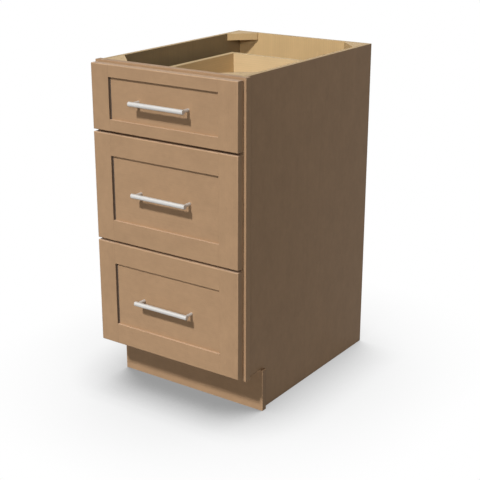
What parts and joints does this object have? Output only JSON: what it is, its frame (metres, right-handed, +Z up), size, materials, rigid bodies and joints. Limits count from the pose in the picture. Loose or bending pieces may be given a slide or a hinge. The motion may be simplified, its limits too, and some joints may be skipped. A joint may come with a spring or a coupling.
{
  "type": "drawer base cabinet",
  "caption": "Face-frame kitchen base cabinet with recessed-panel drawer fronts, bar pulls, full-extension drawers and a recessed toe kick, open at the top for a worktop.",
  "frame": {"origin": "on the floor, under the middle of the outline with the pulls included", "axes": "+Z up, -Y out of the front, where the drawers open, +X to the right of someone facing the front"},
  "size_m": [0.4572, 0.6632, 0.8763],
  "materials": {
    "stained_maple": "light brown stain under a satin lacquer",
    "natural_maple": "clear satin lacquer",
    "satin_nickel": "satin",
    "runner_steel": "zinc plated",
    "screw_steel": "zinc plated",
    "bumper_rubber": "clear, soft"
  },
  "bodies": {
    "cabinet": {"left_side_panel": "stained_maple", "right_side_panel": "stained_maple", "toe_kick_board": "stained_maple", "frame_left_stile": "stained_maple", "frame_right_stile": "stained_maple", "frame_top_rail": "stained_maple", "frame_upper_rail": "stained_maple", "frame_lower_rail": "stained_maple", "frame_bottom_rail": "stained_maple", "back_panel": "natural_maple", "bottom_panel": "natural_maple", "corner_braces": "natural_maple", "runner_spacers": "natural_maple", "runner_cabinet_members": "runner_steel", "frame_bumpers": "bumper_rubber"},
    "top_drawer": {"top_drawer_front_left_stile": "stained_maple", "top_drawer_front_right_stile": "stained_maple", "top_drawer_front_top_rail": "stained_maple", "top_drawer_front_bottom_rail": "stained_maple", "top_drawer_front_panel": "stained_maple", "top_drawer_box_left_side": "natural_maple", "top_drawer_box_right_side": "natural_maple", "top_drawer_box_front": "natural_maple", "top_drawer_box_back": "natural_maple", "top_drawer_box_bottom": "natural_maple", "top_drawer_pull_bar": "satin_nickel", "top_drawer_pull_posts": "satin_nickel", "top_drawer_pull_screws": "screw_steel", "top_drawer_runner_drawer_members": "runner_steel"},
    "top_runner_middles": {"top_drawer_runner_middle_members": "runner_steel"},
    "middle_drawer": {"middle_drawer_front_left_stile": "stained_maple", "middle_drawer_front_right_stile": "stained_maple", "middle_drawer_front_top_rail": "stained_maple", "middle_drawer_front_bottom_rail": "stained_maple", "middle_drawer_front_panel": "stained_maple", "middle_drawer_box_left_side": "natural_maple", "middle_drawer_box_right_side": "natural_maple", "middle_drawer_box_front": "natural_maple", "middle_drawer_box_back": "natural_maple", "middle_drawer_box_bottom": "natural_maple", "middle_drawer_pull_bar": "satin_nickel", "middle_drawer_pull_posts": "satin_nickel", "middle_drawer_pull_screws": "screw_steel", "middle_drawer_runner_drawer_members": "runner_steel"},
    "middle_runner_middles": {"middle_drawer_runner_middle_members": "runner_steel"},
    "bottom_drawer": {"bottom_drawer_front_left_stile": "stained_maple", "bottom_drawer_front_right_stile": "stained_maple", "bottom_drawer_front_top_rail": "stained_maple", "bottom_drawer_front_bottom_rail": "stained_maple", "bottom_drawer_front_panel": "stained_maple", "bottom_drawer_box_left_side": "natural_maple", "bottom_drawer_box_right_side": "natural_maple", "bottom_drawer_box_front": "natural_maple", "bottom_drawer_box_back": "natural_maple", "bottom_drawer_box_bottom": "natural_maple", "bottom_drawer_pull_bar": "satin_nickel", "bottom_drawer_pull_posts": "satin_nickel", "bottom_drawer_pull_screws": "screw_steel", "bottom_drawer_runner_drawer_members": "runner_steel"},
    "bottom_runner_middles": {"bottom_drawer_runner_middle_members": "runner_steel"}
  },
  "joints": [
    {"name": "top_drawer_slide", "type": "slide", "parent": "cabinet", "child": "top_drawer", "axis": [0, -1, 0], "range_m": [0, 0.508]},
    {"name": "top_runner_slide", "type": "slide", "parent": "cabinet", "child": "top_runner_middles", "axis": [0, -1, 0], "range_m": [0, 0.254]},
    {"name": "middle_drawer_slide", "type": "slide", "parent": "cabinet", "child": "middle_drawer", "axis": [0, -1, 0], "range_m": [0, 0.508]},
    {"name": "middle_runner_slide", "type": "slide", "parent": "cabinet", "child": "middle_runner_middles", "axis": [0, -1, 0], "range_m": [0, 0.254]},
    {"name": "bottom_drawer_slide", "type": "slide", "parent": "cabinet", "child": "bottom_drawer", "axis": [0, -1, 0], "range_m": [0, 0.508]},
    {"name": "bottom_runner_slide", "type": "slide", "parent": "cabinet", "child": "bottom_runner_middles", "axis": [0, -1, 0], "range_m": [0, 0.254]}
  ],
  "couplings": [
    {"joint": "top_runner_slide", "follows": "top_drawer_slide", "ratio": 0.5},
    {"joint": "middle_runner_slide", "follows": "middle_drawer_slide", "ratio": 0.5},
    {"joint": "bottom_runner_slide", "follows": "bottom_drawer_slide", "ratio": 0.5}
  ]
}
